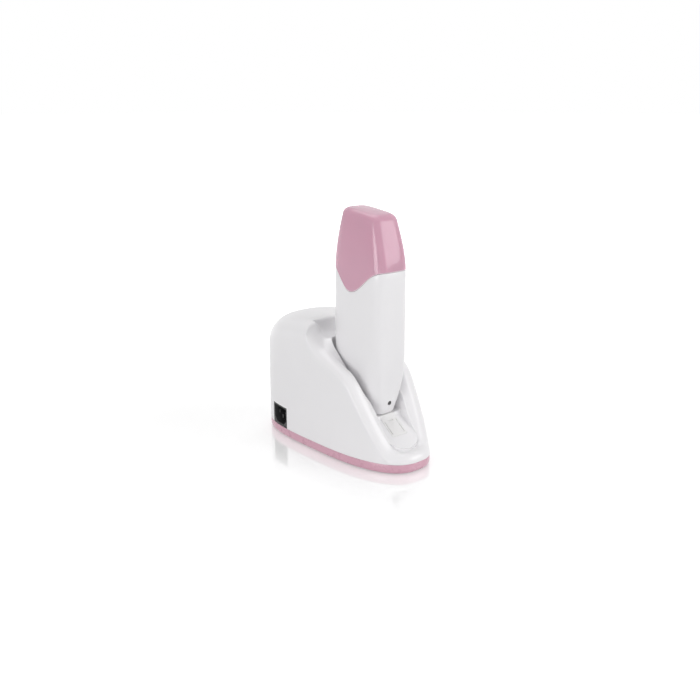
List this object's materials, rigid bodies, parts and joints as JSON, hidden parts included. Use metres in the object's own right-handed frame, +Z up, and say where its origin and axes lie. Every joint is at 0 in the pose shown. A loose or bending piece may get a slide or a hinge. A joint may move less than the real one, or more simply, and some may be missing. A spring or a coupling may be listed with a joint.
{
  "type": "roll on wax heater",
  "caption": "Hand-held roll-on wax cartridge heater with a clear tinted cap, standing in a charging-style mains dock with a finger scoop.",
  "frame": {"origin": "middle of the footprint, on the surface that the dock stands on", "axes": "+Z up; +Y from the nose of the dock to its back; +X to the right when seen from the nose's side towards the back"},
  "size_m": [0.0886, 0.206, 0.2443],
  "materials": {
    "shell_white": "glossy white moulding",
    "rim_pink": "glossy pink moulding",
    "cap_pink": "clear pink moulding, polished",
    "block_cream": "fine satin",
    "collar_grey": "satin, heat resistant",
    "black_plastic": "satin",
    "foot_rubber": "matt",
    "steel": "plated",
    "spring_steel": "drawn wire",
    "brass": "turned",
    "well_aluminium": "drawn sheet",
    "ceramic": "matt",
    "lead_sheath": "satin insulation",
    "board_green": "satin",
    "lens_black": "polished"
  },
  "bodies": {
    "dock": {"base_shell": "shell_white", "base_tray": "rim_pink", "base_feet": "foot_rubber", "base_screws": "steel", "mains_inlet": "black_plastic", "inlet_pins": "steel", "base_leads": "lead_sheath", "contact_block": "block_cream", "contact_retainer": "block_cream", "retainer_screws": "steel", "plunger_spring_left": "spring_steel", "plunger_spring_right": "spring_steel"},
    "handset": {"handset_housing": "shell_white", "well_collar": "collar_grey", "heating_well": "well_aluminium", "ptc_heater": "ceramic", "heater_clip": "steel", "thermostat": "black_plastic", "thermal_fuse": "steel", "indicator_board": "board_green", "indicator_led": "ceramic", "indicator_lens": "lens_black", "contact_carrier": "black_plastic", "contact_pad_left": "brass", "contact_pad_right": "brass", "carrier_screws": "steel", "handset_leads": "lead_sheath"},
    "cap": {"cap": "cap_pink"},
    "plunger_left": {"contact_plunger_left": "brass"},
    "plunger_right": {"contact_plunger_right": "brass"}
  },
  "joints": [
    {"name": "handset_lift", "type": "slide", "parent": "dock", "child": "handset", "axis": [0, 0, 1], "range_m": [0, 0.13]},
    {"name": "cap_pull", "type": "slide", "parent": "handset", "child": "cap", "axis": [0, 0, 1], "range_m": [0, 0.09]},
    {"name": "plunger_left_press", "type": "slide", "parent": "dock", "child": "plunger_left", "axis": [0, 0, 1], "range_m": [-0.0015, 0], "stiffness_N_per_m": 300, "springref_m": 0.003, "deforming": ["plunger_spring_left"]},
    {"name": "plunger_right_press", "type": "slide", "parent": "dock", "child": "plunger_right", "axis": [0, 0, 1], "range_m": [-0.0015, 0], "stiffness_N_per_m": 300, "springref_m": 0.003, "deforming": ["plunger_spring_right"]}
  ]
}
